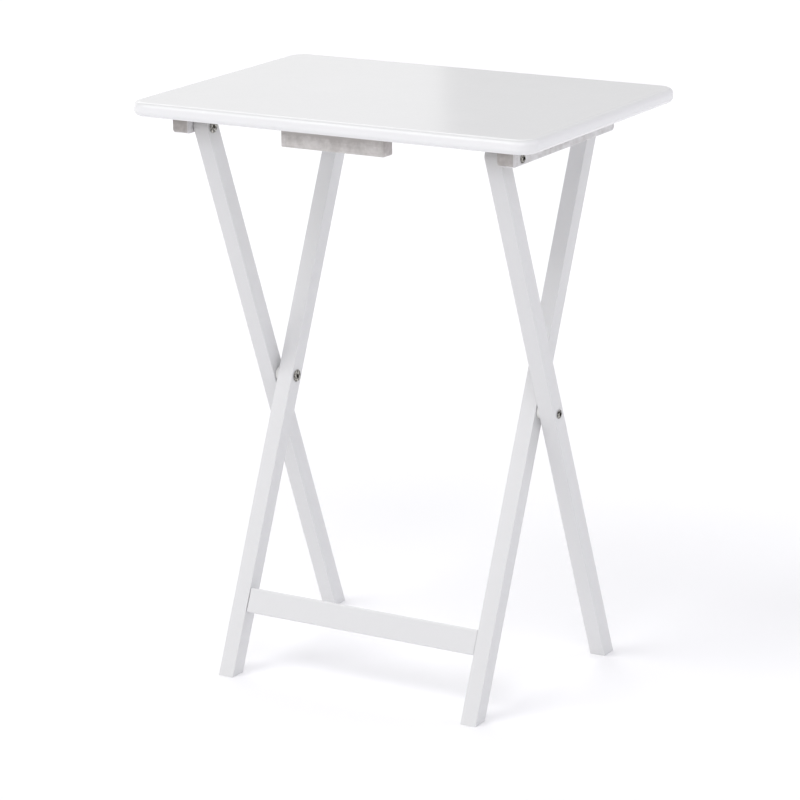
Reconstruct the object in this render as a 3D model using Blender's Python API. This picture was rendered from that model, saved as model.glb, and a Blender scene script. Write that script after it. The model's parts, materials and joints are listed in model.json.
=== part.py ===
"""Folding tray table: a lacquered top on two pairs of legs that cross and fold.

X runs along the long side, Y to the back and Z up, in metres. The origin is on the floor
under the middle of the top. The outer legs hang from the top's front pivots and stand at
the back. The inner frame stands at the front, and its crossbar snaps into two clips under
the back of the top.
"""

import math

import bmesh
import bpy

# Table top
HEIGHT = 0.660
TOP_LENGTH = 0.500
TOP_DEPTH = 0.350
TOP_THICKNESS = 0.016
TOP_CORNER = 0.022
TOP_EDGE_ROUND = 0.0065

# Clearances
FIT_GAP = 0.0003
PIVOT_WASHER = 0.0008
LEG_SPACER = 0.0043

# Cleats under the two ends of the top, and the batten under its front edge
CLEAT_INSET = 0.0378
CLEAT_WIDTH = 0.0193
CLEAT_HEIGHT = 0.0209
CLEAT_SETBACK = 0.0333
CLEAT_LENGTH = 0.2315
CLEAT_CORNER = 0.005
BATTEN_LENGTH = 0.128
BATTEN_DEPTH = 0.0180
BATTEN_HEIGHT = 0.0209
BATTEN_SETBACK = 0.0218
BATTEN_EDGE = 0.0008

# Legs
LEG_WIDTH = 0.019
LEG_DEPTH = 0.020
LEG_EDGE_ROUND = 0.0025
LEG_END_GAP = 0.0005
TOP_PIVOT_SETBACK = 0.0537
TOP_PIVOT_DROP = 0.0142
OUTER_FOOT_SETBACK = 0.0515
INNER_FOOT_SETBACK = 0.0348
CROSSBAR_SETBACK = 0.0396

# Rails of the inner frame
CROSSBAR_DIAMETER = 0.016
CROSSBAR_TENON_DIAMETER = 0.011
CROSSBAR_TENON_LENGTH = 0.013
STRETCHER_UP_LEG = 0.0863
STRETCHER_HEIGHT = 0.0283
STRETCHER_THICKNESS = 0.012
STRETCHER_STEP = 0.0005
STRETCHER_EDGE = 0.0015
DOWEL_DIAMETER = 0.006
DOWEL_IN_LEG = 0.012
DOWEL_IN_RAIL = 0.018
DOWEL_SPACING = 0.014

# Snap clips that hold the crossbar
CLIP_WALL = 0.0019
CLIP_WIDTH = 0.014
CLIP_SPACING = 0.180
CLIP_TAIL = 0.014
CLIP_MOUTH_HALF_ANGLE = math.radians(46)

# Pivot hardware
SLEEVE_DIAMETER = 0.008
SLEEVE_FLANGE_DIAMETER = 0.014
SLEEVE_FLANGE_HEIGHT = 0.0010
BOLT_DIAMETER = 0.0054
BOLT_HEAD_DIAMETER = 0.010
BOLT_HEAD_HEIGHT = 0.0016
BOLT_LENGTH = 0.026
HEX_KEY = 0.004
HEX_DEPTH = 0.0012
HEX_BORDER = 0.0008
RIM_LIP = 0.0005
SLEEVE_RECESS = 0.001
BORE_SPARE = 0.002
WASHER_DIAMETER = 0.016

# Wood screws
SCREW_DIAMETER = 0.0036
SCREW_HEAD_DIAMETER = 0.0076
SCREW_HEAD_HEIGHT = 0.0024
SCREW_IN_TOP = 0.010
SCREW_SINK = 0.006
SCREW_SINK_DIAMETER = 0.0086
SCREW_POINT = 0.004
CLEAT_SCREW_SETBACKS = (0.040, 0.115, 0.205)
BATTEN_SCREW_SPACING = 0.080

# Fineness of the mesh
ARC_STEPS = 8
LEG_END_STEPS = 12
ROUND_SIDES = 28
SCREW_SIDES = 16
SINK_SIDES = 20
SMOOTH_ANGLE = math.radians(35)
MERGE_DISTANCE = 1e-6
SAME_PLACE = 1e-9
CUT_SPARE = 0.001

# Places that follow from the driving dimensions
UNDERSIDE = HEIGHT - TOP_THICKNESS
FRONT_EDGE = -TOP_DEPTH / 2
BACK_EDGE = TOP_DEPTH / 2
TOP_PIVOT_Y = FRONT_EDGE + TOP_PIVOT_SETBACK
TOP_PIVOT_Z = UNDERSIDE - TOP_PIVOT_DROP
CROSSBAR_RADIUS = CROSSBAR_DIAMETER / 2
CLIP_INNER_RADIUS = CROSSBAR_RADIUS + FIT_GAP
CLIP_OUTER_RADIUS = CLIP_INNER_RADIUS + CLIP_WALL
CROSSBAR_Y = BACK_EDGE - CROSSBAR_SETBACK
CROSSBAR_Z = UNDERSIDE - FIT_GAP - CLIP_OUTER_RADIUS
OUTER_FOOT_Y = BACK_EDGE - OUTER_FOOT_SETBACK
INNER_FOOT_Y = FRONT_EDGE + INNER_FOOT_SETBACK

CLEAT_OUTER_X = TOP_LENGTH / 2 - CLEAT_INSET
CLEAT_INNER_X = CLEAT_OUTER_X - CLEAT_WIDTH
CLEAT_X = (CLEAT_OUTER_X + CLEAT_INNER_X) / 2
OUTER_LEG_FACE_X = CLEAT_INNER_X - PIVOT_WASHER - 2 * FIT_GAP
OUTER_LEG_X = OUTER_LEG_FACE_X - LEG_WIDTH / 2
INNER_LEG_FACE_X = OUTER_LEG_FACE_X - LEG_WIDTH - LEG_SPACER - 2 * FIT_GAP
INNER_LEG_X = INNER_LEG_FACE_X - LEG_WIDTH / 2
RAIL_END_X = INNER_LEG_X - LEG_WIDTH / 2 - FIT_GAP

# The legs cross where their two centre lines meet, seen from the side
OUTER_SLOPE = (TOP_PIVOT_Y - OUTER_FOOT_Y) / TOP_PIVOT_Z
INNER_SLOPE = (CROSSBAR_Y - INNER_FOOT_Y) / CROSSBAR_Z
CROSSING_Z = (OUTER_FOOT_Y - INNER_FOOT_Y) / (INNER_SLOPE - OUTER_SLOPE)
CROSSING_Y = INNER_FOOT_Y + INNER_SLOPE * CROSSING_Z
OUTER_LEAN = -math.atan(OUTER_SLOPE)
INNER_LEAN = -math.atan(INNER_SLOPE)
OUTER_REACH = math.hypot(TOP_PIVOT_Y - CROSSING_Y, TOP_PIVOT_Z - CROSSING_Z)
INNER_REACH = math.hypot(CROSSBAR_Y - CROSSING_Y, CROSSBAR_Z - CROSSING_Z)

# The inner legs end just under the top, whatever the size of the crossbar between them
CROSSBAR_DROP = UNDERSIDE - CROSSBAR_Z
INNER_END_RISE = (CROSSBAR_DROP - LEG_END_GAP - LEG_DEPTH / 2) / math.cos(INNER_LEAN)


def material(name, colour, roughness, metallic=0.0):
    made = bpy.data.materials.new(name)
    made.use_nodes = True
    shader = made.node_tree.nodes["Principled BSDF"]
    shader.inputs["Base Color"].default_value = (*colour, 1.0)
    shader.inputs["Roughness"].default_value = roughness
    shader.inputs["Metallic"].default_value = metallic
    made.diffuse_color = (*colour, 1.0)
    return made


def empty(name, location, lean=0.0):
    """A pivot that a whole frame hangs from, turned so that local Z runs up its legs."""
    made = bpy.data.objects.new(name, None)
    made.location = location
    made.rotation_euler = (lean, 0.0, 0.0)
    made.empty_display_size = 0.05
    bpy.context.collection.objects.link(made)
    return made


def mesh_from(bm, name):
    bmesh.ops.remove_doubles(bm, verts=bm.verts[:], dist=MERGE_DISTANCE)
    bmesh.ops.recalc_face_normals(bm, faces=bm.faces[:])
    mesh = bpy.data.meshes.new(name)
    bm.to_mesh(mesh)
    bm.free()
    mesh.shade_smooth()
    mesh.set_sharp_from_angle(angle=SMOOTH_ANGLE)
    return mesh


def place(name, mesh, parent, location=(0.0, 0.0, 0.0), rotation=(0.0, 0.0, 0.0), finish=None):
    made = bpy.data.objects.new(name, mesh)
    bpy.context.collection.objects.link(made)
    made.parent = parent
    made.location = location
    made.rotation_euler = rotation
    if finish and not mesh.materials:
        mesh.materials.append(finish)
    return made


def cut(target, mesh, location=(0.0, 0.0, 0.0), rotation=(0.0, 0.0, 0.0)):
    """Cut target with mesh, placed in the frame of target's parent."""
    cutter = place(target.name + "_cut", mesh, target.parent, location, rotation)
    cutter.hide_render = True
    cutter.display_type = "WIRE"
    modifier = target.modifiers.new("cut", "BOOLEAN")
    modifier.operation = "DIFFERENCE"
    modifier.solver = "EXACT"
    modifier.object = cutter


def arc(centre, radius, start, end, steps=ARC_STEPS):
    """Points on an arc in a plane, both ends included."""
    angles = [start + (end - start) * i / steps for i in range(steps + 1)]
    return [(centre[0] + radius * math.cos(a), centre[1] + radius * math.sin(a)) for a in angles]


def prism(outline, width, edge_round=0.0, segments=3):
    """An outline of (y, z) points, as thick as width along X, with its rims rounded over."""
    bm = bmesh.new()
    face = bm.faces.new([bm.verts.new((-width / 2, y, z)) for y, z in outline])
    raised = bmesh.ops.extrude_face_region(bm, geom=[face])
    moved = [v for v in raised["geom"] if isinstance(v, bmesh.types.BMVert)]
    bmesh.ops.translate(bm, verts=moved, vec=(width, 0.0, 0.0))
    if edge_round:
        rims = [e for e in bm.edges if abs(e.verts[0].co.x - e.verts[1].co.x) < SAME_PLACE]
        bmesh.ops.bevel(bm, geom=rims, offset=edge_round, segments=segments, profile=0.5,
                        affect="EDGES", clamp_overlap=True)
    return bm


def bar(size_x, size_y, size_z, edge_round, segments=2):
    """A straight bar with every edge eased, centred on the origin."""
    bm = bmesh.new()
    bmesh.ops.create_cube(bm, size=1.0)
    bmesh.ops.scale(bm, vec=(size_x, size_y, size_z), verts=bm.verts[:])
    bmesh.ops.bevel(bm, geom=bm.edges[:], offset=edge_round, segments=segments, profile=0.5,
                    affect="EDGES", clamp_overlap=True)
    return bm


def turned(profile, sides=ROUND_SIDES):
    """A solid turned about Z from (radius, z) points that start and end on the axis."""
    bm = bmesh.new()
    verts = [bm.verts.new((radius, 0.0, z)) for radius, z in profile]
    edges = [bm.edges.new(pair) for pair in zip(verts, verts[1:])]
    bmesh.ops.spin(bm, geom=verts + edges, cent=(0, 0, 0), axis=(0, 0, 1), angle=math.tau,
                   steps=sides, use_merge=True)
    return bm


def rod(diameter, length, sides=ROUND_SIDES):
    """A plain round cutter or pin about Z, centred on the origin."""
    bm = bmesh.new()
    bmesh.ops.create_cone(bm, cap_ends=True, segments=sides, radius1=diameter / 2,
                          radius2=diameter / 2, depth=length)
    return bm


def tube(outer_diameter, inner_diameter, length):
    bm = bmesh.new()
    outline = [(inner_diameter / 2, -length / 2), (outer_diameter / 2, -length / 2),
               (outer_diameter / 2, length / 2), (inner_diameter / 2, length / 2)]
    verts = [bm.verts.new((radius, 0.0, z)) for radius, z in outline]
    edges = [bm.edges.new((verts[i], verts[i - 1])) for i in range(len(verts))]
    bmesh.ops.spin(bm, geom=verts + edges, cent=(0, 0, 0), axis=(0, 0, 1), angle=math.tau,
                   steps=ROUND_SIDES, use_merge=True)
    return bm


def hex_socket():
    bm = bmesh.new()
    radius = HEX_KEY / 2 / math.cos(math.pi / 6)
    bmesh.ops.create_cone(bm, cap_ends=True, segments=6, radius1=radius, radius2=radius,
                          depth=2 * HEX_DEPTH)
    return mesh_from(bm, "hex_key")


ALONG_X = (0.0, math.radians(90), 0.0)


def outward(side):
    """Turns a piece's local Z to point away from the middle of the table."""
    return (0.0, side * math.radians(90), 0.0)


def leg(name, parent, x, lean, reach, finish):
    """A square leg about its frame's pivot: round over its upper end, cut level at the floor."""
    half = LEG_DEPTH / 2

    def floor_z(y):
        return -(CROSSING_Z + y * math.sin(lean)) / math.cos(lean)

    outline = [(-half, floor_z(-half)), (half, floor_z(half))]
    outline += arc((0.0, reach), half, 0.0, math.pi, LEG_END_STEPS)
    mesh = mesh_from(prism(outline, LEG_WIDTH, LEG_EDGE_ROUND), name)
    made = place(name, mesh, parent, (x, 0.0, 0.0), finish=finish)
    hole = mesh_from(rod(SLEEVE_DIAMETER + 2 * FIT_GAP, 2 * LEG_WIDTH), "pivot_hole")
    cut(made, hole, (x, 0.0, 0.0), ALONG_X)
    return made


def sleeve_nut_mesh(stack):
    """The long sleeve that the joint turns on: flanged, with a hex socket and a blind bore."""
    length = stack + 2 * FIT_GAP + SLEEVE_FLANGE_HEIGHT - SLEEVE_RECESS
    flange = SLEEVE_FLANGE_DIAMETER / 2
    sleeve = SLEEVE_DIAMETER / 2
    bore = BOLT_DIAMETER / 2 + FIT_GAP
    bore_start = length - BOLT_LENGTH + SLEEVE_RECESS - BORE_SPARE
    profile = [(0.0, 0.0), (flange - RIM_LIP, 0.0), (flange, RIM_LIP),
               (flange, SLEEVE_FLANGE_HEIGHT)]
    profile += [(sleeve, SLEEVE_FLANGE_HEIGHT), (sleeve, length), (bore, length)]
    profile += [(bore, bore_start), (0.0, bore_start)]
    return mesh_from(turned(profile), "sleeve_nut")


def bolt_mesh():
    """Button head above z = 0 and shank below it."""
    head = BOLT_HEAD_DIAMETER / 2
    shank = BOLT_DIAMETER / 2
    flat = HEX_KEY / 2 + HEX_BORDER
    profile = [(0.0, -BOLT_LENGTH), (shank, -BOLT_LENGTH), (shank, 0.0), (head, 0.0)]
    for i in range(ARC_STEPS + 1):
        turn = math.pi / 2 * i / ARC_STEPS
        radius = flat + (head - flat) * math.cos(turn)
        profile.append((radius, RIM_LIP + (BOLT_HEAD_HEIGHT - RIM_LIP) * math.sin(turn)))
    profile.append((0.0, BOLT_HEAD_HEIGHT))
    return mesh_from(turned(profile), "pivot_bolt")


def pivot(name, parent, side, y, z, inner_face, outer_face, finish):
    """A bolt in from the outer face and a sleeve nut in from the inner face."""
    nut_face = side * (inner_face - FIT_GAP - SLEEVE_FLANGE_HEIGHT)
    head_face = side * (outer_face + FIT_GAP)
    stack = outer_face - inner_face
    nut = place(name + "_nut", sleeve_nut_mesh(stack), parent, (nut_face, y, z),
                outward(side), finish)
    bolt = place(name + "_bolt", bolt_mesh(), parent, (head_face, y, z), outward(side), finish)
    cut(nut, hex_socket(), (nut_face, y, z), outward(side))
    cut(bolt, hex_socket(), (head_face + side * BOLT_HEAD_HEIGHT, y, z), outward(side))


def spacer(name, parent, x, thickness, location_yz, finish):
    mesh = mesh_from(tube(WASHER_DIAMETER, SLEEVE_DIAMETER + 2 * FIT_GAP, thickness), name)
    place(name, mesh, parent, (x, *location_yz), ALONG_X, finish)


def screw_mesh(grip):
    """A pan-head wood screw that points up: its head's seat is at z = 0."""
    head = SCREW_HEAD_DIAMETER / 2
    shank = SCREW_DIAMETER / 2
    length = grip + SCREW_IN_TOP
    profile = [(0.0, -SCREW_HEAD_HEIGHT)]
    steps = ARC_STEPS // 2
    for i in range(1, steps + 1):
        turn = math.pi / 2 * i / steps
        profile.append((head * math.sin(turn), -SCREW_HEAD_HEIGHT * math.cos(turn)))
    profile += [(shank, 0.0), (shank, length - SCREW_POINT), (0.0, length)]
    return mesh_from(turned(profile, SCREW_SIDES), "wood_screw")


def screwed(name, piece, top, x, y, seat_z, bottom_z, finish):
    """A screw up through piece into the top, with the holes that it needs in both."""
    underside = TOP_PIVOT_DROP
    place(name, screw_mesh(underside - seat_z), piece.parent, (x, y, seat_z), finish=finish)
    clear = SCREW_DIAMETER + 2 * FIT_GAP
    shaft_length = underside - bottom_z + SCREW_IN_TOP + FIT_GAP
    shaft_z = bottom_z + (shaft_length - CUT_SPARE) / 2
    shaft = mesh_from(rod(clear, shaft_length + CUT_SPARE, SCREW_SIDES), "screw_hole")
    cut(piece, shaft, (x, y, shaft_z))
    cut(top, shaft, (x, y, shaft_z))
    if seat_z > bottom_z:
        deep = seat_z + FIT_GAP - bottom_z + CUT_SPARE
        sink = mesh_from(rod(SCREW_SINK_DIAMETER, deep, SINK_SIDES), "screw_sink")
        cut(piece, sink, (x, y, bottom_z - CUT_SPARE + deep / 2))


def table_top(parent, finish):
    """The flat board, with round corners in plan and its upper and lower rims rounded over."""
    bm = bmesh.new()
    half_x = TOP_LENGTH / 2 - TOP_CORNER
    half_y = TOP_DEPTH / 2 - TOP_CORNER
    outline = []
    for i, (sx, sy) in enumerate(((1, 1), (-1, 1), (-1, -1), (1, -1))):
        start = i * math.pi / 2
        centre = (sx * half_x, sy * half_y)
        outline += arc(centre, TOP_CORNER, start, start + math.pi / 2)
    face = bm.faces.new([bm.verts.new((x, y, -TOP_THICKNESS / 2)) for x, y in outline])
    raised = bmesh.ops.extrude_face_region(bm, geom=[face])
    moved = [v for v in raised["geom"] if isinstance(v, bmesh.types.BMVert)]
    bmesh.ops.translate(bm, verts=moved, vec=(0.0, 0.0, TOP_THICKNESS))
    rims = [e for e in bm.edges if abs(e.verts[0].co.z - e.verts[1].co.z) < SAME_PLACE]
    bmesh.ops.bevel(bm, geom=rims, offset=TOP_EDGE_ROUND, segments=5, profile=0.5,
                    affect="EDGES", clamp_overlap=True)
    centre = (0.0, -TOP_PIVOT_Y, TOP_PIVOT_DROP + TOP_THICKNESS / 2)
    return place("tabletop", mesh_from(bm, "tabletop"), parent, centre, finish=finish)


def cleat(name, parent, side, finish):
    """A strip under one end of the top, with its two lower corners rounded."""
    high = TOP_PIVOT_DROP - FIT_GAP
    low = high - CLEAT_HEIGHT
    front = FRONT_EDGE + CLEAT_SETBACK - TOP_PIVOT_Y
    back = front + CLEAT_LENGTH
    outline = [(back, high), (front, high)]
    outline += arc((front + CLEAT_CORNER, low + CLEAT_CORNER), CLEAT_CORNER,
                   math.pi, 1.5 * math.pi, 5)
    outline += arc((back - CLEAT_CORNER, low + CLEAT_CORNER), CLEAT_CORNER,
                   1.5 * math.pi, math.tau, 5)
    mesh = mesh_from(prism(outline, CLEAT_WIDTH, BATTEN_EDGE, 2), name)
    made = place(name, mesh, parent, (side * CLEAT_X, 0.0, 0.0), finish=finish)
    hole = mesh_from(rod(SLEEVE_DIAMETER + 2 * FIT_GAP, 2 * CLEAT_WIDTH), "pivot_hole")
    cut(made, hole, (side * CLEAT_X, 0.0, 0.0), ALONG_X)
    return made


def clip_outline():
    """A plate under the top and a C that opens downwards, about the crossbar's axis."""
    inner = CLIP_INNER_RADIUS
    outer = CLIP_OUTER_RADIUS
    back_jaw = -math.pi / 2 + CLIP_MOUTH_HALF_ANGLE
    front_jaw = 1.5 * math.pi - CLIP_MOUTH_HALF_ANGLE
    tail = outer + CLIP_TAIL
    outline = arc((0.0, 0.0), outer, back_jaw, math.asin(inner / outer))
    outline += [(tail, inner), (tail, outer)]
    outline += arc((0.0, 0.0), outer, math.pi / 2, front_jaw)
    outline += arc((0.0, 0.0), inner, front_jaw, back_jaw, 2 * ARC_STEPS)
    return outline


def tray(parent, wood, shade, steel, plastic):
    """Everything that turns on the front pivots: the top and what is screwed under it."""
    top = table_top(parent, wood)
    pieces = {}
    for side, word in ((-1, "left"), (1, "right")):
        pieces[word] = cleat("cleat_" + word, parent, side, shade)
        low = TOP_PIVOT_DROP - FIT_GAP - CLEAT_HEIGHT
        front = FRONT_EDGE + CLEAT_SETBACK - TOP_PIVOT_Y
        for number, along in enumerate(CLEAT_SCREW_SETBACKS, 1):
            screwed(f"cleat_screw_{word}_{number}", pieces[word], top, side * CLEAT_X,
                    front + along, low + SCREW_SINK, low, steel)

    high = TOP_PIVOT_DROP - FIT_GAP
    batten_y = FRONT_EDGE + BATTEN_SETBACK + BATTEN_DEPTH / 2 - TOP_PIVOT_Y
    mesh = mesh_from(bar(BATTEN_LENGTH, BATTEN_DEPTH, BATTEN_HEIGHT, BATTEN_EDGE), "batten")
    batten = place("front_batten", mesh, parent, (0.0, batten_y, high - BATTEN_HEIGHT / 2),
                   finish=shade)
    low = high - BATTEN_HEIGHT
    for side, word in ((-1, "left"), (1, "right")):
        screwed(f"batten_screw_{word}", batten, top, side * BATTEN_SCREW_SPACING / 2, batten_y,
                low + SCREW_SINK, low, steel)

    clip_y = CROSSBAR_Y - TOP_PIVOT_Y
    clip_z = CROSSBAR_Z - TOP_PIVOT_Z
    for side, word in ((-1, "left"), (1, "right")):
        x = side * CLIP_SPACING / 2
        mesh = mesh_from(prism(clip_outline(), CLIP_WIDTH), "snap_clip")
        clip = place("snap_clip_" + word, mesh, parent, (x, clip_y, clip_z), finish=plastic)
        seat = clip_z + CLIP_INNER_RADIUS - FIT_GAP
        screwed("clip_screw_" + word, clip, top, x, clip_y + CLIP_OUTER_RADIUS + CLIP_TAIL / 2,
                seat, seat, steel)


def inner_rails(parent, legs, wood):
    """The crossbar that the clips hold, and the stretcher near the feet on its dowels."""
    bar_half = RAIL_END_X
    tenon = bar_half + CROSSBAR_TENON_LENGTH
    thin = CROSSBAR_TENON_DIAMETER / 2
    profile = [(0.0, -tenon), (thin, -tenon), (thin, -bar_half), (CROSSBAR_RADIUS, -bar_half),
               (CROSSBAR_RADIUS, bar_half), (thin, bar_half), (thin, tenon), (0.0, tenon)]
    mesh = mesh_from(turned(profile), "crossbar")
    place("crossbar", mesh, parent, (0.0, 0.0, INNER_REACH), ALONG_X, wood)
    socket_length = 2 * (CROSSBAR_TENON_LENGTH + 2 * FIT_GAP)
    socket = mesh_from(rod(CROSSBAR_TENON_DIAMETER + 2 * FIT_GAP, socket_length), "tenon_hole")
    for side, piece in legs.items():
        cut(piece, socket, (side * (RAIL_END_X + FIT_GAP), 0.0, INNER_REACH), ALONG_X)

    foot_z = -CROSSING_Z / math.cos(INNER_LEAN)
    rail_y = -LEG_DEPTH / 2 + STRETCHER_STEP + STRETCHER_THICKNESS / 2
    rail_z = foot_z + STRETCHER_UP_LEG
    mesh = mesh_from(bar(2 * RAIL_END_X, STRETCHER_THICKNESS, STRETCHER_HEIGHT, STRETCHER_EDGE),
                     "stretcher")
    stretcher = place("lower_stretcher", mesh, parent, (0.0, rail_y, rail_z), finish=wood)
    pin_length = DOWEL_IN_LEG + DOWEL_IN_RAIL
    pin = mesh_from(rod(DOWEL_DIAMETER, pin_length, SCREW_SIDES), "dowel")
    hole = mesh_from(rod(DOWEL_DIAMETER + 2 * FIT_GAP, pin_length + 2 * FIT_GAP, SCREW_SIDES),
                     "pin_hole")
    for side, piece in legs.items():
        word = "left" if side < 0 else "right"
        x = side * (RAIL_END_X + (DOWEL_IN_LEG - DOWEL_IN_RAIL) / 2)
        for up, level in ((-1, "lower"), (1, "upper")):
            at = (x, rail_y, rail_z + up * DOWEL_SPACING / 2)
            place(f"stretcher_dowel_{word}_{level}", pin, parent, at, ALONG_X, wood)
            cut(piece, hole, at, ALONG_X)
            cut(stretcher, hole, at, ALONG_X)


def build():
    for old in list(bpy.data.objects):
        bpy.data.objects.remove(old, do_unlink=True)
    wood = material("white_lacquer", (0.86, 0.86, 0.86), 0.18)
    shade = material("white_satin", (0.80, 0.79, 0.77), 0.45)
    steel = material("dark_nickel", (0.38, 0.37, 0.36), 0.30, 1.0)
    plastic = material("nylon", (0.78, 0.78, 0.76), 0.50)

    outer = empty("outer_frame", (0.0, CROSSING_Y, CROSSING_Z), OUTER_LEAN)
    inner = empty("inner_frame", (0.0, CROSSING_Y, CROSSING_Z), INNER_LEAN)
    front = empty("top_pivot", (0.0, TOP_PIVOT_Y, TOP_PIVOT_Z))

    tray(front, wood, shade, steel, plastic)
    inner_legs = {}
    for side, word in ((-1, "left"), (1, "right")):
        outer_leg = leg("outer_leg_" + word, outer, side * OUTER_LEG_X, OUTER_LEAN,
                        OUTER_REACH, wood)
        hole = mesh_from(rod(SLEEVE_DIAMETER + 2 * FIT_GAP, 2 * LEG_WIDTH), "pivot_hole")
        cut(outer_leg, hole, (side * OUTER_LEG_X, 0.0, OUTER_REACH), ALONG_X)
        inner_legs[side] = leg("inner_leg_" + word, inner, side * INNER_LEG_X, INNER_LEAN,
                               INNER_REACH + INNER_END_RISE, wood)

        leg_inner_face = OUTER_LEG_FACE_X - LEG_WIDTH
        pivot("top_pivot_" + word, outer, side, 0.0, OUTER_REACH, leg_inner_face, CLEAT_OUTER_X,
              steel)
        pivot("crossing_" + word, outer, side, 0.0, 0.0, INNER_LEG_FACE_X - LEG_WIDTH,
              OUTER_LEG_FACE_X, steel)
        spacer("top_pivot_washer_" + word, outer,
               side * (OUTER_LEG_FACE_X + FIT_GAP + PIVOT_WASHER / 2), PIVOT_WASHER,
               (0.0, OUTER_REACH), plastic)
        spacer("crossing_spacer_" + word, outer,
               side * (INNER_LEG_FACE_X + FIT_GAP + LEG_SPACER / 2), LEG_SPACER,
               (0.0, 0.0), plastic)
    inner_rails(inner, inner_legs, wood)


build()
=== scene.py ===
import json
import math

import bmesh
import bpy
from mathutils import Matrix, Quaternion, Vector


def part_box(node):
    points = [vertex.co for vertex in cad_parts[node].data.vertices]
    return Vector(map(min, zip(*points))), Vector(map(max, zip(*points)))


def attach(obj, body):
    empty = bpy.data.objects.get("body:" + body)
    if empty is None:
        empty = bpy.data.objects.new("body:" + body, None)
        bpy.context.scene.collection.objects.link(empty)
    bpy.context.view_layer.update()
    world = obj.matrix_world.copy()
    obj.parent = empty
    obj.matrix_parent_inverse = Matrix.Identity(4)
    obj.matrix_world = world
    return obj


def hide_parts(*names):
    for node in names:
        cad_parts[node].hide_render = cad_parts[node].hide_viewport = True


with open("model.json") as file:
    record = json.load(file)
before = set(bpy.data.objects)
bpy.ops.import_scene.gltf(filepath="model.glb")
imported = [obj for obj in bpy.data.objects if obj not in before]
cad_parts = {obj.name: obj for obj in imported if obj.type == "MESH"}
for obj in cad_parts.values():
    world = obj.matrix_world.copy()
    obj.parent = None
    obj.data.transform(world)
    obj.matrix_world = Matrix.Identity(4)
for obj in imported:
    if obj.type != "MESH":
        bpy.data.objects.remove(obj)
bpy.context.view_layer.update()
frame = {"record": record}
mm = 0.001
gap = 0.3 * mm  # left between pieces that touch or turn
hair = 0.01 * mm  # two heights or places closer than this are the same
through = 60 * mm  # long enough to drill past any one strip
weldPiece = 0.002 * mm
weldTurned = 0.001 * mm
sharpWood = 40.0  # degrees; faces that meet more sharply keep a crisp edge
sharpMetal = 30.0


def jointPlace(name):
    for joint in frame["record"]["behaviour"]["joints"]:
        if joint["name"] == name:
            return Vector(joint["pos_m"])


def middle(node):
    low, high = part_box(node)
    return (Vector(low) + Vector(high)) / 2


def span(node):
    low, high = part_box(node)
    return Vector(high) - Vector(low)


crossing = jointPlace("leg_fold")
topPivot = jointPlace("top_lift")
crossbarMiddle = middle("crossbar")
underside, boardTop = (corner[2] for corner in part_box("tabletop"))


def leanTowards(place):
    # turn about X that stands local Z up along the line from the crossing
    return -math.atan2(place.y - crossing.y, place.z - crossing.z)


outerLean = leanTowards(topPivot)
innerLean = leanTowards(crossbarMiddle)
outerTurn = Matrix.Translation((0, crossing.y, crossing.z)) @ Matrix.Rotation(outerLean, 4, "X")
innerTurn = Matrix.Translation((0, crossing.y, crossing.z)) @ Matrix.Rotation(innerLean, 4, "X")
sides = {"left": -1, "right": 1}


camera = {
    "azimuth": 30.69,
    "elevation": 16.0,
    "roll": -0.82,
    "distance": 3.605,
    "lens": 143.63,
    "lookAt": (-0.0115, 0.0, 0.3089),
    "sensor": 36.0,
    "clip": (0.1, 40.0),
}


def makeCamera():
    azimuth = math.radians(camera["azimuth"])
    elevation = math.radians(camera["elevation"])
    back = Vector((math.sin(azimuth) * math.cos(elevation),
                   -math.cos(azimuth) * math.cos(elevation), math.sin(elevation)))
    data = bpy.data.cameras.new("camera")
    data.lens = camera["lens"]
    data.sensor_width = camera["sensor"]
    data.clip_start, data.clip_end = camera["clip"]
    made = bpy.data.objects.new("camera", data)
    made.location = Vector(camera["lookAt"]) + back * camera["distance"]
    made.rotation_mode = "QUATERNION"
    roll = Quaternion((0, 0, 1), math.radians(camera["roll"]))
    made.rotation_quaternion = (-back).to_track_quat("-Z", "Y") @ roll
    bpy.context.collection.objects.link(made)
    bpy.context.scene.camera = made


makeCamera()
print("camera set")


class Signal:
    # one shader socket; sums written with it add their own Math nodes
    def __init__(self, tree, socket):
        self.tree = tree
        self.socket = socket

    def combine(self, operation, first, second):
        node = self.tree.nodes.new("ShaderNodeMath")
        node.operation = operation
        for place, value in enumerate((first, second)):
            if isinstance(value, Signal):
                self.tree.links.new(value.socket, node.inputs[place])
            else:
                node.inputs[place].default_value = value
        return Signal(self.tree, node.outputs[0])

    def __add__(self, other):
        return self.combine("ADD", self, other)

    def __radd__(self, other):
        return self.combine("ADD", other, self)

    def __sub__(self, other):
        return self.combine("SUBTRACT", self, other)

    def __rsub__(self, other):
        return self.combine("SUBTRACT", other, self)

    def __mul__(self, other):
        return self.combine("MULTIPLY", self, other)

    def __rmul__(self, other):
        return self.combine("MULTIPLY", other, self)

    def __pow__(self, other):
        return self.combine("POWER", self, other)


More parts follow.
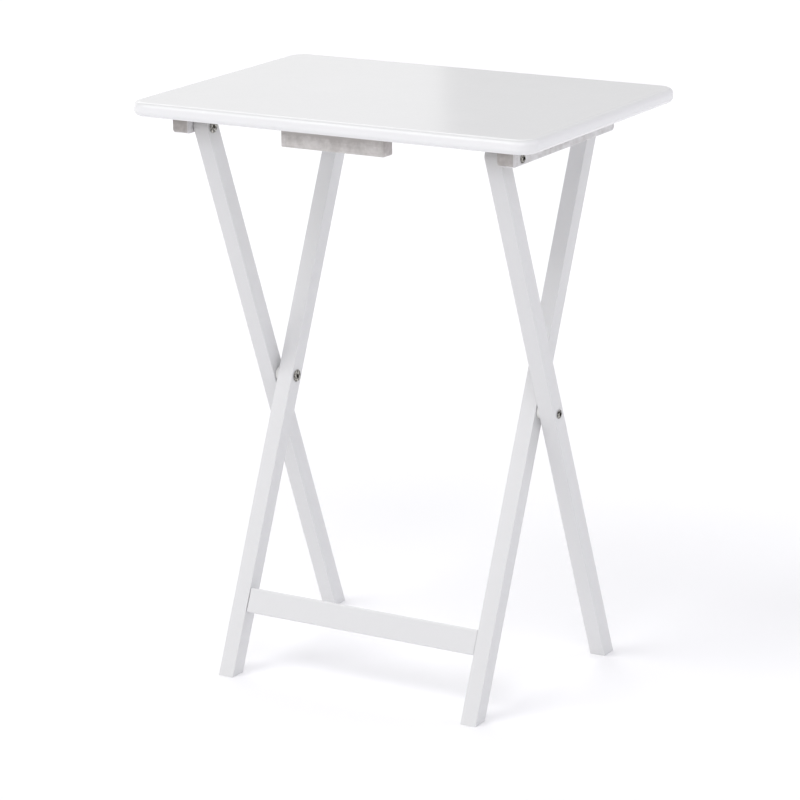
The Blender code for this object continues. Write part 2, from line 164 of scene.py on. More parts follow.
class Finish:
    # a material under construction
    def __init__(self, name):
        self.material = bpy.data.materials.new(name)
        self.material.use_nodes = True
        self.tree = self.material.node_tree
        self.surface = self.tree.nodes["Principled BSDF"]

    def node(self, kind, settings=None, sockets=None, output=0):
        made = self.tree.nodes.new(kind)
        for key, value in (settings or {}).items():
            setattr(made, key, value)
        for key, value in (sockets or {}).items():
            if isinstance(value, Signal):
                self.tree.links.new(value.socket, made.inputs[key])
            else:
                made.inputs[key].default_value = value
        return Signal(self.tree, made.outputs[output])

    def coordinates(self, turn=0.0, stretch=(1.0, 1.0, 1.0)):
        # object coordinates, turned about X and stretched, so that a grain can run along a leg
        place = self.node("ShaderNodeTexCoord", output="Object")
        turned = self.node("ShaderNodeMapping", {"vector_type": "TEXTURE"},
                           {"Vector": place, "Rotation": (turn, 0.0, 0.0)})
        return self.node("ShaderNodeMapping", {"vector_type": "POINT"},
                         {"Vector": turned, "Scale": stretch})

    def noise(self, coordinates, scale, detail=2.0, roughness=0.5):
        return self.node("ShaderNodeTexNoise", None,
                         {"Vector": coordinates, "Scale": scale, "Detail": detail,
                          "Roughness": roughness}, "Fac")

    def fade(self, coordinates, start, end, most):
        # rises smoothly from 0 at one height to most at another
        height = self.node("ShaderNodeSeparateXYZ", None, {"Vector": coordinates}, "Z")
        return self.node("ShaderNodeMapRange", {"interpolation_type": "SMOOTHSTEP"},
                         {"Value": height, "From Min": start, "From Max": end,
                          "To Min": 0.0, "To Max": most})

    def tint(self, amount, low, high):
        # a colour between low, which may be a signal, and high
        low = low if isinstance(low, Signal) else (*low, 1.0)
        return self.node("ShaderNodeMix", {"data_type": "RGBA"},
                         {"Factor": amount, "A": low, "B": (*high, 1.0)}, "Result")

    def feed(self, socket, signal):
        self.tree.links.new(signal.socket, self.surface.inputs[socket])

    def bump(self, height, distance, strength=1.0):
        made = self.node("ShaderNodeBump", None,
                         {"Height": height, "Distance": distance, "Strength": strength})
        self.feed("Normal", made)

    def fix(self, **values):
        names = {"metal": "Metallic", "rough": "Roughness", "index": "IOR",
                 "specular": "Specular IOR Level", "base": "Base Color",
                 "glow": "Emission Color", "glowStrength": "Emission Strength"}
        for key, value in values.items():
            self.surface.inputs[names[key]].default_value = value


# noise entries are (scale, detail) or (scale, detail, roughness)
gloss = {"stretch": (90.0, 90.0, 4.0), "drift": (5.0, 3.0), "peel": (420.0, 2.0),
         "grain": (1.6, 5.0, 0.6), "dust": (1500.0, 1.0), "dustPower": 6.0,
         "cloud": (22.0, 4.0), "bump": 0.00006, "bumpStrength": 0.5,
         "base": (0.71, 0.71, 0.715), "deep": (0.67, 0.67, 0.68), "rough": 0.2,
         "paintedShade": (0.33, 0.315, 0.30), "paintedShadeDepth": 45 * mm, "paintedShadeMost": 0.55,
         "edged": (0.80, 0.80, 0.81), "edgedStart": 0.4 * mm, "edgedEnd": 4 * mm}


def lacquer(name, lean=0.0, paintedShade=False, edged=False, base=gloss["base"], deep=gloss["deep"],
            rough=gloss["rough"]):
    # sprayed gloss lacquer: faint drift in tone, orange peel, and the grain under it
    finish = Finish(name)
    plain = finish.coordinates()
    grainWay = finish.coordinates(lean, gloss["stretch"])
    drift = finish.noise(plain, *gloss["drift"])
    peel = finish.noise(plain, *gloss["peel"])
    grain = finish.noise(grainWay, *gloss["grain"])
    dust = finish.noise(plain, *gloss["dust"]) ** gloss["dustPower"]
    colour = finish.tint(0.55 * drift + 0.35 * grain + 0.4 * dust, base, deep)
    if paintedShade:
        # a darker, warmer tone close under the top; it stands in for shade, so it
        # stays when the lights change
        # painted shade: the upper 45 mm of each leg, close under the board, turns darker and
        # warmer
        joint = finish.fade(plain, underside - gloss["paintedShadeDepth"], underside,
                            gloss["paintedShadeMost"])
        colour = finish.tint(joint * (0.6 + 0.8 * drift), colour, gloss["paintedShade"])
    if edged:
        # a whiter edge than the flat of the board, to stand in for edge light
        # painted highlight: below the flat of its top face the board turns whiter, over the whole
        # edge
        paintedHighlight = finish.fade(plain, boardTop - gloss["edgedStart"],
                             boardTop - gloss["edgedEnd"], 1.0)
        colour = finish.tint(paintedHighlight, colour, gloss["edged"])
    finish.feed("Base Color", colour)
    cloud = finish.noise(plain, *gloss["cloud"])
    finish.feed("Roughness", rough - 0.04 + 0.07 * cloud + 0.03 * peel)
    finish.bump(0.7 * peel + 1.2 * grain, gloss["bump"], gloss["bumpStrength"])
    finish.fix(index=1.5, specular=0.5)
    return finish.material


thin = {"grain": (2.2, 6.0, 0.65), "mottle": (130.0, 4.0, 0.6), "blotch": (45.0, 3.0, 0.55),
        "joint": 14 * mm, "stripShadeMost": 0.9, "rough": 0.42, "bump": 0.00015,
        "bumpStrength": 0.7, "alongY": (160.0, 9.0, 160.0), "alongX": (9.0, 160.0, 160.0),
        "sawnEnd": (160.0, 160.0, 40.0)}


def satinPaint(name, base, deep, stretch):
    # thin warm grey paint on a sawn strip: the grain shows, the paint is mottled, and it is
    # darker along the joint with the top, which stands in for shade
    finish = Finish(name)
    plain = finish.coordinates()
    grain = finish.noise(finish.coordinates(0.0, stretch), *thin["grain"])
    mottle = finish.noise(plain, *thin["mottle"])
    blotch = finish.noise(plain, *thin["blotch"])
    # painted shade: the upper 14 mm of each strip, close under the board, turns darker
    joint = finish.fade(plain, stripTop - thin["joint"], stripTop, thin["stripShadeMost"])
    paint = 1.0 * grain + 1.7 * mottle + 1.8 * blotch - 1.85
    finish.feed("Base Color", finish.tint(paint + joint, base, deep))
    finish.feed("Roughness", thin["rough"] + 0.2 * mottle)
    finish.bump(grain + 0.6 * mottle, thin["bump"], thin["bumpStrength"])
    return finish.material


plate = {"smearAndGlints": (420.0, 4.0, 0.6), "bright": (0.62, 0.60, 0.55),
         "dark": (0.035, 0.034, 0.032), "rough": 0.12, "turning": (2600.0, 2.0),
         "bump": 0.00002, "bumpStrength": 0.5}


def nickel(name):
    # dark plate, with painted glints: bright and dark specks in its colour break up its
    # reflections; the metal is a guess
    finish = Finish(name)
    plain = finish.coordinates()
    smearAndGlints = finish.noise(plain, *plate["smearAndGlints"])
    paintedGlints = 4.0 * smearAndGlints - 1.35
    finish.feed("Base Color", finish.tint(paintedGlints, plate["bright"], plate["dark"]))
    finish.feed("Roughness", plate["rough"] + 0.2 * smearAndGlints)
    finish.bump(finish.noise(plain, *plate["turning"]), plate["bump"], plate["bumpStrength"])
    finish.fix(metal=1.0)
    return finish.material


moulded = {"base": (0.80, 0.80, 0.78), "deep": (0.74, 0.74, 0.72), "cloud": (60.0, 3.0),
           "rough": 0.42, "skin": (1900.0, 2.0), "bump": 0.00003, "bumpStrength": 0.6}


def nylon(name):
    finish = Finish(name)
    plain = finish.coordinates()
    cloud = finish.noise(plain, *moulded["cloud"])
    finish.feed("Base Color", finish.tint(cloud, moulded["base"], moulded["deep"]))
    finish.feed("Roughness", moulded["rough"] + 0.14 * cloud)
    finish.bump(finish.noise(plain, *moulded["skin"]), moulded["bump"],
                moulded["bumpStrength"])
    return finish.material


bare = {"base": (0.68, 0.50, 0.32), "deep": (0.50, 0.34, 0.20),
        "poreWay": (30.0, 400.0, 400.0), "pores": (1.5, 5.0, 0.6),
        "fleckWay": (120.0, 900.0, 900.0), "flecks": (1.0, 2.0),
        "rough": 0.55, "bump": 0.0001, "bumpStrength": 0.6}


def beech(name):
    # bare dowel wood: long pores and short flecks along X
    finish = Finish(name)
    pores = finish.noise(finish.coordinates(0.0, bare["poreWay"]), *bare["pores"])
    flecks = finish.noise(finish.coordinates(0.0, bare["fleckWay"]), *bare["flecks"])
    finish.feed("Base Color", finish.tint(0.7 * pores + 0.3 * flecks, bare["base"],
                                          bare["deep"]))
    finish.feed("Roughness", bare["rough"] + 0.2 * pores)
    finish.bump(pores, bare["bump"], bare["bumpStrength"])
    return finish.material


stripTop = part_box("cleat_left")[1][2]
finishes = {
    "top": lacquer("top_lacquer", edged=True, base=(0.74, 0.74, 0.74),
                   deep=(0.695, 0.695, 0.70), rough=0.13),
    "outer": lacquer("outer_leg_lacquer", outerLean, paintedShade=True),
    "inner": lacquer("inner_leg_lacquer", innerLean, paintedShade=True),
    "rail": lacquer("rail_lacquer", math.pi / 2),
    "cleat": satinPaint("cleat_paint", (0.74, 0.73, 0.74), (0.54, 0.52, 0.52),
                        thin["alongY"]),
    "cleatEnd": satinPaint("cleat_end_paint", (0.50, 0.475, 0.46), (0.32, 0.295, 0.28),
                           thin["sawnEnd"]),
    "batten": satinPaint("batten_paint", (0.65, 0.625, 0.61), (0.44, 0.415, 0.40),
                         thin["alongX"]),
    "battenEnd": satinPaint("batten_end_paint", (0.61, 0.575, 0.565), (0.40, 0.37, 0.36),
                            thin["sawnEnd"]),
    "nickel": nickel("dark_nickel_plate"),
    "nylon": nylon("white_nylon"),
    "beech": beech("bare_beech"),
}
print("finishes made")


def toPiece(bm, name, finish, body, nodes, sharpFrom=sharpWood):
    # closes a mesh into a finished piece at the origin, which stands for its nodes
    bmesh.ops.remove_doubles(bm, verts=bm.verts[:], dist=weldPiece)
    bmesh.ops.recalc_face_normals(bm, faces=bm.faces[:])
    mesh = bpy.data.meshes.new(name)
    bm.to_mesh(mesh)
    bm.free()
    mesh.materials.append(finishes[finish])
    piece = bpy.data.objects.new(name, mesh)
    bpy.context.collection.objects.link(piece)
    settle(piece, sharpFrom)
    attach(piece, body)
    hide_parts(*nodes)
    return piece


def settle(piece, sharpFrom=sharpWood):
    piece.data.shade_smooth()
    piece.data.set_sharp_from_angle(angle=math.radians(sharpFrom))
    soften = piece.modifiers.new("flat faces stay flat", "WEIGHTED_NORMAL")
    soften.keep_sharp = True


def shape(piece, tool, operation="DIFFERENCE"):
    # cuts or joins tool, a bmesh, with a finished piece
    mesh = bpy.data.meshes.new("tool")
    bmesh.ops.recalc_face_normals(tool, faces=tool.faces[:])
    tool.to_mesh(mesh)
    tool.free()
    helper = bpy.data.objects.new("tool", mesh)
    bpy.context.collection.objects.link(helper)
    piece.modifiers.clear()
    cut = piece.modifiers.new("cut", "BOOLEAN")
    cut.operation = operation
    cut.solver = "EXACT"
    cut.object = helper
    carved = bpy.data.meshes.new_from_object(
        piece.evaluated_get(bpy.context.evaluated_depsgraph_get()))
    carved.name = piece.name
    piece.modifiers.clear()
    piece.data = carved
    bpy.data.objects.remove(helper, do_unlink=True)
    settle(piece)


def block(low, high):
    # a plain box between two corners
    bm = bmesh.new()
    bmesh.ops.create_cube(bm, size=1.0)
    low = Vector(low)
    high = Vector(high)
    bmesh.ops.scale(bm, vec=high - low, verts=bm.verts[:])
    bmesh.ops.translate(bm, vec=(low + high) / 2, verts=bm.verts[:])
    return bm


def edgesWhere(bm, test):
    return [e for e in bm.edges if all(test(v.co) for v in e.verts)]


def reach(edge, way):
    # how far an edge runs along X, Y or Z
    return abs(edge.verts[0].co[way] - edge.verts[1].co[way])


def ease(bm, edges, radius, steps):
    bmesh.ops.bevel(bm, geom=edges, offset=radius, offset_type="OFFSET", segments=steps,
                    profile=0.5, affect="EDGES", clamp_overlap=True, material=-1)


def turned(profile, sides=64):
    # (radius, height) points turned about Z
    bm = bmesh.new()
    verts = [bm.verts.new((radius, 0.0, height)) for radius, height in profile]
    edges = [bm.edges.new(pair) for pair in zip(verts, verts[1:])]
    bmesh.ops.spin(bm, geom=verts + edges, cent=(0, 0, 0), axis=(0, 0, 1), angle=math.tau,
                   steps=sides, use_merge=True)
    bmesh.ops.remove_doubles(bm, verts=bm.verts[:], dist=weldTurned)
    return bm


def drill(radius, length, sides=48):
    bm = bmesh.new()
    bmesh.ops.create_cone(bm, cap_ends=True, segments=sides, radius1=radius, radius2=radius,
                          depth=length)
    return bm


def put(bm, matrix):
    bmesh.ops.transform(bm, matrix=matrix, verts=bm.verts[:])
    return bm


def keyHole(place):
    # a six-sided socket at local zero
    corner = pivot["key"] / 2 / math.cos(math.pi / 6)
    return put(drill(corner, 2 * pivot["keyDeep"], 6), place)


def facing(side, place):
    # stands local Z out along X, away from the middle of the table
    return Matrix.Translation(place) @ Matrix.Rotation(side * math.pi / 2, 4, "Y")


def quarter(centre, radii, start, end, steps):
    # points of an arc, as (radius, height)
    angles = [start + (end - start) * i / steps for i in range(steps + 1)]
    return [(centre[0] + radii[0] * math.cos(a), centre[1] + radii[1] * math.sin(a))
            for a in angles]


board = {"corner": 22 * mm, "cornerSteps": 20, "rim": 6.5 * mm, "rimSteps": 9}


def makeTop():
    low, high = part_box("tabletop")
    bm = block(low, high)
    uprights = [e for e in bm.edges if reach(e, 2) > hair]
    ease(bm, uprights, board["corner"], board["cornerSteps"])
    rims = [e for e in bm.edges if reach(e, 2) < hair]
    ease(bm, rims, board["rim"], board["rimSteps"])
    return toPiece(bm, "tray_board", "top", "tray", ["tabletop"])


cleat = {"corner": 5 * mm, "cornerSteps": 10, "edge": 1.1 * mm, "edgeSteps": 4}
batten = {"edge": 0.9 * mm, "edgeSteps": 3}
screw = {"head": 7.6 * mm, "headHigh": 2.4 * mm, "dome": (1.9 * mm, 1.7 * mm),
         "domeSteps": 10, "lip": 0.2 * mm, "shank": 3.6 * mm, "root": 2.5 * mm,
         "pitch": 1.5 * mm, "plain": 3 * mm, "point": 3 * mm, "recess": 4.4 * mm,
         "slot": 0.9 * mm, "slotDeep": 1.5 * mm, "slotRound": 1.1 * mm, "hole": 4.2 * mm,
         "sink": 8.6 * mm, "steps": 40}
drillDeep = 100 * mm


def sinkScrews(piece, bottom, nodes):
    # a clearance hole up through the strip for each screw, and a wider sink for its head
    for node in nodes:
        at = middle(node)
        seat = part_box(node)[0][2] + screw["headHigh"] + gap
        hole = Matrix.Translation((at.x, at.y, bottom))
        shape(piece, put(drill(screw["hole"] / 2, drillDeep), hole))
        if seat - bottom > 1 * mm:
            shape(piece, put(drill(screw["sink"] / 2, 2 * (seat - bottom)), hole))


def paintEnds(piece, way, finish):
    # a darker tone on the two sawn ends
    piece.data.materials.append(finishes[finish])
    for face in piece.data.polygons:
        if abs(face.normal.dot(way)) > 0.7:
            face.material_index = 1


def makeCleat(word, side):
    node = "cleat_" + word
    low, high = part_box(node)
    bm = block(low, high)
    lowest = edgesWhere(bm, lambda co: co.z < low[2] + hair)
    ease(bm, [e for e in lowest if reach(e, 1) < hair], cleat["corner"],
         cleat["cornerSteps"])
    ease(bm, [e for e in bm.edges if reach(e, 0) < hair], cleat["edge"], cleat["edgeSteps"])
    piece = toPiece(bm, "side_cleat_" + word, "cleat", "tray", [node])
    paintEnds(piece, Vector((0, 1, 0)), "cleatEnd")
    boreAt = (middle(node).x, topPivot.y, topPivot.z)
    shape(piece, put(drill(pivot["hole"] / 2, through), facing(side, boreAt)))
    sinkScrews(piece, low[2], [f"cleat_screw_{word}_{number}" for number in (1, 2, 3)])


def makeBatten():
    low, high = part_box("front_batten")
    bm = block(low, high)
    ease(bm, bm.edges[:], batten["edge"], batten["edgeSteps"])
    piece = toPiece(bm, "batten_strip", "batten", "tray", ["front_batten"])
    paintEnds(piece, Vector((1, 0, 0)), "battenEnd")
    sinkScrews(piece, low[2], ["batten_screw_" + word for word in sides])


leg = {"depth": 20 * mm, "edge": 2.5 * mm, "edgeSteps": 6, "endRound": 0.999,
       "endSteps": 16}


def makeLeg(node, side, turn, lean, bores, finish, body):
    # bores are (height above the crossing, radius, how far in from the inner face)
    low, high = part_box(node)
    width = high[0] - low[0]
    half = leg["depth"] / 2
    above = (high[2] - half - crossing.z) / math.cos(lean)
    sink = crossing.z / math.cos(lean) + leg["depth"]
    bm = block((-width / 2, -half, -sink), (width / 2, half, above + half))
    endEdges = [e for e in edgesWhere(bm, lambda co: co.z > above) if reach(e, 1) < hair]
    ease(bm, endEdges, half * leg["endRound"], leg["endSteps"])
    put(bm, Matrix.Translation((middle(node).x, 0, 0)) @ turn)
    sawn = bmesh.ops.bisect_plane(bm, geom=bm.verts[:] + bm.edges[:] + bm.faces[:],
                                  plane_co=(0, 0, 0), plane_no=(0, 0, 1), clear_inner=True)
    bmesh.ops.contextual_create(bm, geom=[g for g in sawn["geom_cut"]
                                          if isinstance(g, bmesh.types.BMEdge)])
    rims = [e for e in bm.edges if reach(e, 0) < hair]
    footEdges = edgesWhere(bm, lambda co: co.z < hair)
    ease(bm, list(set(rims + footEdges)), leg["edge"], leg["edgeSteps"])
    piece = toPiece(bm, node.replace("_leg_", "_post_"), finish, body, [node])
    innerFace = middle(node).x - side * width / 2
    for up, radius, deep in bores:
        at = turn @ Vector((innerFace, 0, up))
        shape(piece, put(drill(radius, 2 * deep), facing(side, at)))


stretcher = {"thick": 12 * mm, "high": 28.3 * mm, "edge": 1.6 * mm, "edgeSteps": 4}


def makeStretcher():
    width = span("lower_stretcher").x
    bm = block((-width / 2, -stretcher["thick"] / 2, -stretcher["high"] / 2),
               (width / 2, stretcher["thick"] / 2, stretcher["high"] / 2))
    ease(bm, bm.edges[:], stretcher["edge"], stretcher["edgeSteps"])
    put(bm, Matrix.Translation(middle("lower_stretcher")) @ Matrix.Rotation(innerLean, 4, "X"))
    piece = toPiece(bm, "foot_rail", "rail", "inner_frame",
                    ["lower_stretcher"])
    for word, side in sides.items():
        for level in ("lower", "upper"):
            pin = f"stretcher_dowel_{word}_{level}"
            hole = drill(dowel["hole"] / 2, span(pin).x + 2 * gap)
            shape(piece, put(hole, facing(side, middle(pin))))


crossbar = {"tenon": 11 * mm, "tenonLength": 13 * mm, "edge": 0.5 * mm, "steps": 72}
dowel = {"diameter": 6 * mm, "hole": 6.6 * mm, "edge": 0.7 * mm, "flutes": 10,
         "fluteRadius": 0.35 * mm, "fluteSides": 8, "steps": 40}


def makeCrossbar():
    radius = span("crossbar").z / 2
    end = span("crossbar").x / 2
    shoulder = end - crossbar["tenonLength"]
    thin = crossbar["tenon"] / 2
    edge = crossbar["edge"]
    half = [(radius, 0), (radius, shoulder - edge), (radius - edge, shoulder), (thin, shoulder),
            (thin, end - edge), (thin - edge, end), (0, end)]
    other = [(across, -along) for across, along in reversed(half[1:])]
    bm = put(turned(other + half[1:], crossbar["steps"]), facing(1, middle("crossbar")))
    toPiece(bm, "round_crossbar", "rail", "inner_frame", ["crossbar"])


def makeDowel(node):
    radius = dowel["diameter"] / 2
    end = span(node).x / 2
    edge = dowel["edge"]
    bm = turned([(0, -end), (radius - edge, -end), (radius, edge - end), (radius, end - edge),
                 (radius - edge, end), (0, end)], dowel["steps"])
    piece = toPiece(put(bm, facing(1, middle(node))), node.replace("stretcher_", "rail_"),
                    "beech", "inner_frame", [node])
    for number in range(dowel["flutes"]):
        turn = Matrix.Rotation(math.tau * number / dowel["flutes"], 4, "Z")
        flute = put(drill(dowel["fluteRadius"], 4 * end, dowel["fluteSides"]),
                    turn @ Matrix.Translation((radius, 0, 0)))
        shape(piece, put(flute, facing(1, middle(node))))


pivot = {"hole": 8.6 * mm, "sleeve": 8 * mm, "flange": 14 * mm, "flangeHigh": 1.0 * mm,
         "bore": 6.0 * mm, "boreDeep": 27 * mm, "head": 10 * mm, "headHigh": 1.6 * mm,
         "shank": 5.4 * mm, "root": 4.5 * mm, "pitch": 1.0 * mm, "plain": 4 * mm,
         "key": 4 * mm, "keyDeep": 2.4 * mm, "lip": 0.35 * mm, "border": 0.7 * mm,
         "point": 0.5 * mm, "lead": 0.6 * mm, "runOut": 0.4 * mm, "steps": 72,
         "lipSteps": 4, "domeSteps": 14, "flangeSteps": 8}
thread = {"rise": 0.15, "crest": 0.6, "fall": 0.75}  # shares of the pitch


def threaded(crest, root, start, stop, pitch):
    # ridges down a turned shank, as (radius, height)
    points = []
    count = int(abs(stop - start) / pitch)
    step = (stop - start) / count
    for number in range(count):
        points += [(root, start + step * (number + thread["rise"])),
                   (crest, start + step * (number + thread["crest"])),
                   (crest, start + step * (number + thread["fall"]))]
    return points


def makeBolt(node, side):
    low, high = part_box(node)
    top = high[0] if side > 0 else low[0]
    seat = top - side * pivot["headHigh"]
    place = facing(side, (seat, middle(node).y, middle(node).z))
    length = span(node).x - pivot["headHigh"]
    head, high = pivot["head"] / 2, pivot["headHigh"]
    shank, root, lip = pivot["shank"] / 2, pivot["root"] / 2, pivot["lip"]
    flat = pivot["key"] / 2 + pivot["border"]
    point = pivot["point"]
    profile = [(0, -length), (root - point, -length), (root, point - length)]
    profile += threaded(shank, root, pivot["lead"] - length, -pivot["plain"], pivot["pitch"])
    profile += [(shank, pivot["runOut"] - pivot["plain"]), (shank, 0), (head - lip, 0)]
    profile += quarter((head - lip, lip), (lip, lip), -math.pi / 2, 0, pivot["lipSteps"])
    profile += quarter((flat, lip), (head - flat, high - lip), 0, math.pi / 2,
                       pivot["domeSteps"])
    profile += [(0, high)]
    piece = toPiece(put(turned(profile, pivot["steps"]), place),
                    node.replace("_bolt", "_button_bolt"), "nickel", "outer_frame",
                    [node], sharpMetal)
    shape(piece, keyHole(place @ Matrix.Translation((0, 0, high))))


def makeNut(node, side):
    low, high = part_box(node)
    face = low[0] if side > 0 else high[0]
    place = facing(side, (face, middle(node).y, middle(node).z))
    length = span(node).x
    flange, sleeve, bore = pivot["flange"] / 2, pivot["sleeve"] / 2, pivot["bore"] / 2
    lip, thick = pivot["lip"], pivot["flangeHigh"]
    boreStart = length - pivot["boreDeep"]
    profile = [(0, 0)]
    profile += quarter((flange - 2 * lip, 2 * lip), (2 * lip, 2 * lip), -math.pi / 2, 0,
                       pivot["flangeSteps"])
    profile += [(flange, thick), (sleeve, thick), (sleeve, length - lip),
                (sleeve - lip, length), (bore + lip, length), (bore, length - lip),
                (bore, boreStart), (0, boreStart - bore / 2)]
    piece = toPiece(put(turned(profile, pivot["steps"]), place),
                    node.replace("_nut", "_sleeve_nut"), "nickel", "outer_frame",
                    [node], sharpMetal)
    shape(piece, keyHole(place))


ring = {"soft": 0.25 * mm, "softShare": 0.35, "steps": 64}


def makeRing(node):
    # a washer or spacer with softened rims
    thick, outside, inside = span(node).x, span(node).z / 2, pivot["hole"] / 2
    soft = min(ring["soft"], thick * ring["softShare"])
    outline = [(inside + soft, 0), (outside - soft, 0), (outside, soft), (outside, thick - soft),
               (outside - soft, thick), (inside + soft, thick), (inside, thick - soft),
               (inside, soft), (inside + soft, 0)]
    place = facing(1, (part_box(node)[0][0], middle(node).y, middle(node).z))
    toPiece(put(turned(outline, ring["steps"]), place), node + "_ring", "nylon",
            "outer_frame", [node], sharpMetal)


def makeScrew(node):
    # pan head down, with a cross recess, and its point up in the top
    at = middle(node)
    length = span(node).z
    head, high = screw["head"] / 2, screw["headHigh"]
    shank, root = screw["shank"] / 2, screw["root"] / 2
    start = high + screw["plain"]
    tip = length - screw["point"]
    dome, lip = screw["dome"], screw["lip"]
    profile = [(0, 0)] + quarter((head - dome[0], dome[1]), dome, -math.pi / 2, 0,
                                 screw["domeSteps"])
    profile += [(head, high - lip), (head - lip, high), (shank, high), (shank, start)]
    profile += threaded(shank, root, start, tip, screw["pitch"])
    profile += [(root, tip), (0, length)]
    place = Matrix.Translation((at.x, at.y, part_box(node)[0][2]))
    piece = toPiece(put(turned(profile, screw["steps"]), place), node + "_pan_head", "nickel",
                    "tray", [node], sharpMetal)
    for turn in (math.pi / 4, -math.pi / 4):
        slot = block((-screw["recess"] / 2, -screw["slot"] / 2, -1 * mm),
                     (screw["recess"] / 2, screw["slot"] / 2, screw["slotDeep"]))
        deepEnds = [e for e in edgesWhere(slot, lambda co: co.z > 0) if reach(e, 0) < hair]
        ease(slot, deepEnds, screw["slotRound"], 3)
        shape(piece, put(slot, place @ Matrix.Rotation(turn, 4, "Z")))


clip = {"wall": 1.9 * mm, "mouth": 46.0, "side": 0.15 * mm, "edge": 0.35 * mm,
        "edgeSteps": 3, "arcSteps": 48, "sharp": 60.0, "hole": 30 * mm}


def makeClip(word):
    # a C that opens downwards round the crossbar, and a plate back to its screw
    node = "snap_clip_" + word
    low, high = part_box(node)
    inner = span("crossbar").z / 2 + gap
    outer = inner + clip["wall"]
    across = span(node).x / 2 - clip["side"]
    centre = Vector((middle(node).x, crossbarMiddle.y, crossbarMiddle.z))
    bm = bmesh.new()
    start = math.radians(clip["mouth"] - 90)
    bmesh.ops.create_grid(bm, x_segments=1, y_segments=1, size=0.5)
    bmesh.ops.scale(bm, vec=(2 * across, clip["wall"], 1), verts=bm.verts[:])
    bmesh.ops.translate(bm, vec=(0, (inner + outer) / 2, 0), verts=bm.verts[:])
    bmesh.ops.rotate(bm, cent=(0, 0, 0), matrix=Matrix.Rotation(start, 3, "X"), verts=bm.verts[:])
    bmesh.ops.spin(bm, geom=bm.faces[:], cent=(0, 0, 0), axis=(1, 0, 0),
                   angle=math.tau - 2 * math.radians(clip["mouth"]), steps=clip["arcSteps"])
    bmesh.ops.recalc_face_normals(bm, faces=bm.faces[:])
    sharp = math.radians(clip["sharp"])
    ease(bm, [e for e in bm.edges if e.is_manifold and e.calc_face_angle() > sharp],
         clip["edge"], clip["edgeSteps"])
    piece = toPiece(put(bm, Matrix.Translation(centre)), node + "_nylon", "nylon", "tray",
                    [node])
    strap = block((low[0], centre.y, centre.z + inner), high)
    ease(strap, strap.edges[:], clip["edge"], clip["edgeSteps"])
    shape(piece, strap, "UNION")
    at = middle("clip_screw_" + word)
    shape(piece, put(drill(screw["hole"] / 2, clip["hole"]),
                     Matrix.Translation((at.x, at.y, high[2]))))


makeTop()
topUp = math.hypot(topPivot.y - crossing.y, topPivot.z - crossing.z)
barUp = math.hypot(crossbarMiddle.y - crossing.y, crossbarMiddle.z - crossing.z)
pivotBore = pivot["hole"] / 2
for word, side in sides.items():
    makeCleat(word, side)
    makeLeg("outer_leg_" + word, side, outerTurn, outerLean,
            [(0, pivotBore, through), (topUp, pivotBore, through)], "outer", "outer_frame")
    makeLeg("inner_leg_" + word, side, innerTurn, innerLean,
            [(0, pivotBore, through),
             (barUp, crossbar["tenon"] / 2 + gap, crossbar["tenonLength"] + 2 * gap)],
            "inner", "inner_frame")
makeBatten()
makeStretcher()
makeCrossbar()
for word in sides:
    for level in ("lower", "upper"):
        makeDowel(f"stretcher_dowel_{word}_{level}")
print("wood made")

for word, side in sides.items():
    for joint in ("crossing", "top_pivot"):
        makeBolt(f"{joint}_{word}_bolt", side)
        makeNut(f"{joint}_{word}_nut", side)
    makeRing("crossing_spacer_" + word)
    makeRing("top_pivot_washer_" + word)
    makeClip(word)
    for name in ("clip_screw_" + word, "batten_screw_" + word):
        makeScrew(name)
    for number in (1, 2, 3):
        makeScrew(f"cleat_screw_{word}_{number}")
print("hardware made")


floorPaper = {"size": 14.0, "base": (0.905, 0.903, 0.912, 1.0), "rough": 0.9,
              "specular": 0.1, "glow": (1.0, 1.0, 1.0, 1.0), "glowStrength": 0.04}


def makeFloor():
    bm = bmesh.new()
    bmesh.ops.create_grid(bm, x_segments=2, y_segments=2, size=floorPaper["size"])
    mesh = bpy.data.meshes.new("floor")
    bm.to_mesh(mesh)
    bm.free()
    floor = bpy.data.objects.new("floor", mesh)
    bpy.context.collection.objects.link(floor)
    finish = Finish("floor_paper")
    finish.fix(**{key: floorPaper[key] for key in
                  ("base", "rough", "specular", "glow", "glowStrength")})
    mesh.materials.append(finish.material)


wall = {"place": (-3.89, 1.85, 1.7), "aim": (-0.41, -4.23, 1.7), "size": (5.0, 3.0),
        "power": 15.0, "colour": (1.0, 1.0, 0.99)}

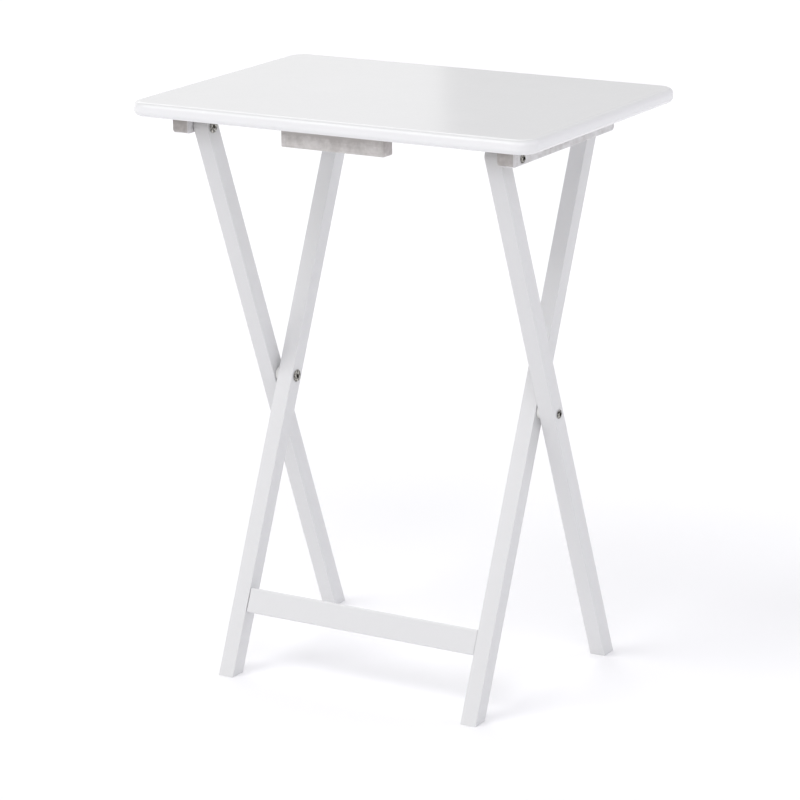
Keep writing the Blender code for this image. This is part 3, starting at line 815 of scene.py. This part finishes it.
# broad soft light from the four corners of the room
corners = {
    "front_left": {"from": (-0.8, -1.1, 1.5), "strength": 0.96, "colour": (1.0, 1.0, 0.99)},
    "front_right": {"from": (0.6, -1.2, 1.3), "strength": 0.68, "colour": (0.96, 0.95, 1.0)},
    "back_right": {"from": (1.0, 1.0, 1.1), "strength": 0.45, "colour": (0.86, 0.85, 1.0)},
    "back_left": {"from": (-1.0, 1.0, 1.1), "strength": 0.44, "colour": (1.0, 1.0, 1.0)},
}
cornerSpread = math.radians(38.0)
dome = {"horizon": 0.63, "zenith": 0.5}


def makeCorner(name, start, strength, colour):
    data = bpy.data.lights.new(name, "SUN")
    data.angle = cornerSpread
    data.energy = strength
    data.color = colour
    made = bpy.data.objects.new(name, data)
    made.rotation_mode = "QUATERNION"
    made.rotation_quaternion = Vector(start).to_track_quat("Z", "Y")
    bpy.context.collection.objects.link(made)


def makeLamp(name, place, aim, size, power, colour):
    data = bpy.data.lights.new(name, "AREA")
    data.shape = "RECTANGLE"
    data.size, data.size_y = size
    data.energy = power
    data.color = colour
    made = bpy.data.objects.new(name, data)
    made.location = place
    made.rotation_mode = "QUATERNION"
    made.rotation_quaternion = (Vector(aim) - Vector(place)).to_track_quat("-Z", "Y")
    made.visible_camera = False
    bpy.context.collection.objects.link(made)


def makeWorld(horizon, zenith):
    # a white dome, a little dimmer straight above
    world = bpy.data.worlds.new("studio")
    world.use_nodes = True
    tree = world.node_tree
    place = tree.nodes.new("ShaderNodeTexCoord")
    split = tree.nodes.new("ShaderNodeSeparateXYZ")
    tree.links.new(place.outputs["Generated"], split.inputs["Vector"])
    square = tree.nodes.new("ShaderNodeMath")
    square.operation = "MULTIPLY"
    for socket in square.inputs[:2]:
        tree.links.new(split.outputs["Z"], socket)
    climb = tree.nodes.new("ShaderNodeMapRange")
    climb.inputs["To Min"].default_value = horizon
    climb.inputs["To Max"].default_value = zenith
    tree.links.new(square.outputs["Value"], climb.inputs["Value"])
    backdrop = tree.nodes["Background"]
    backdrop.inputs["Color"].default_value = (1.0, 1.0, 1.0, 1.0)
    tree.links.new(climb.outputs["Result"], backdrop.inputs["Strength"])
    bpy.context.scene.world = world


makeFloor()
makeLamp("wall", **wall)
for name, light in corners.items():
    makeCorner(name, light["from"], light["strength"], light["colour"])
makeWorld(dome["horizon"], dome["zenith"])
bpy.context.scene.view_settings.view_transform = "Standard"
print("studio set")
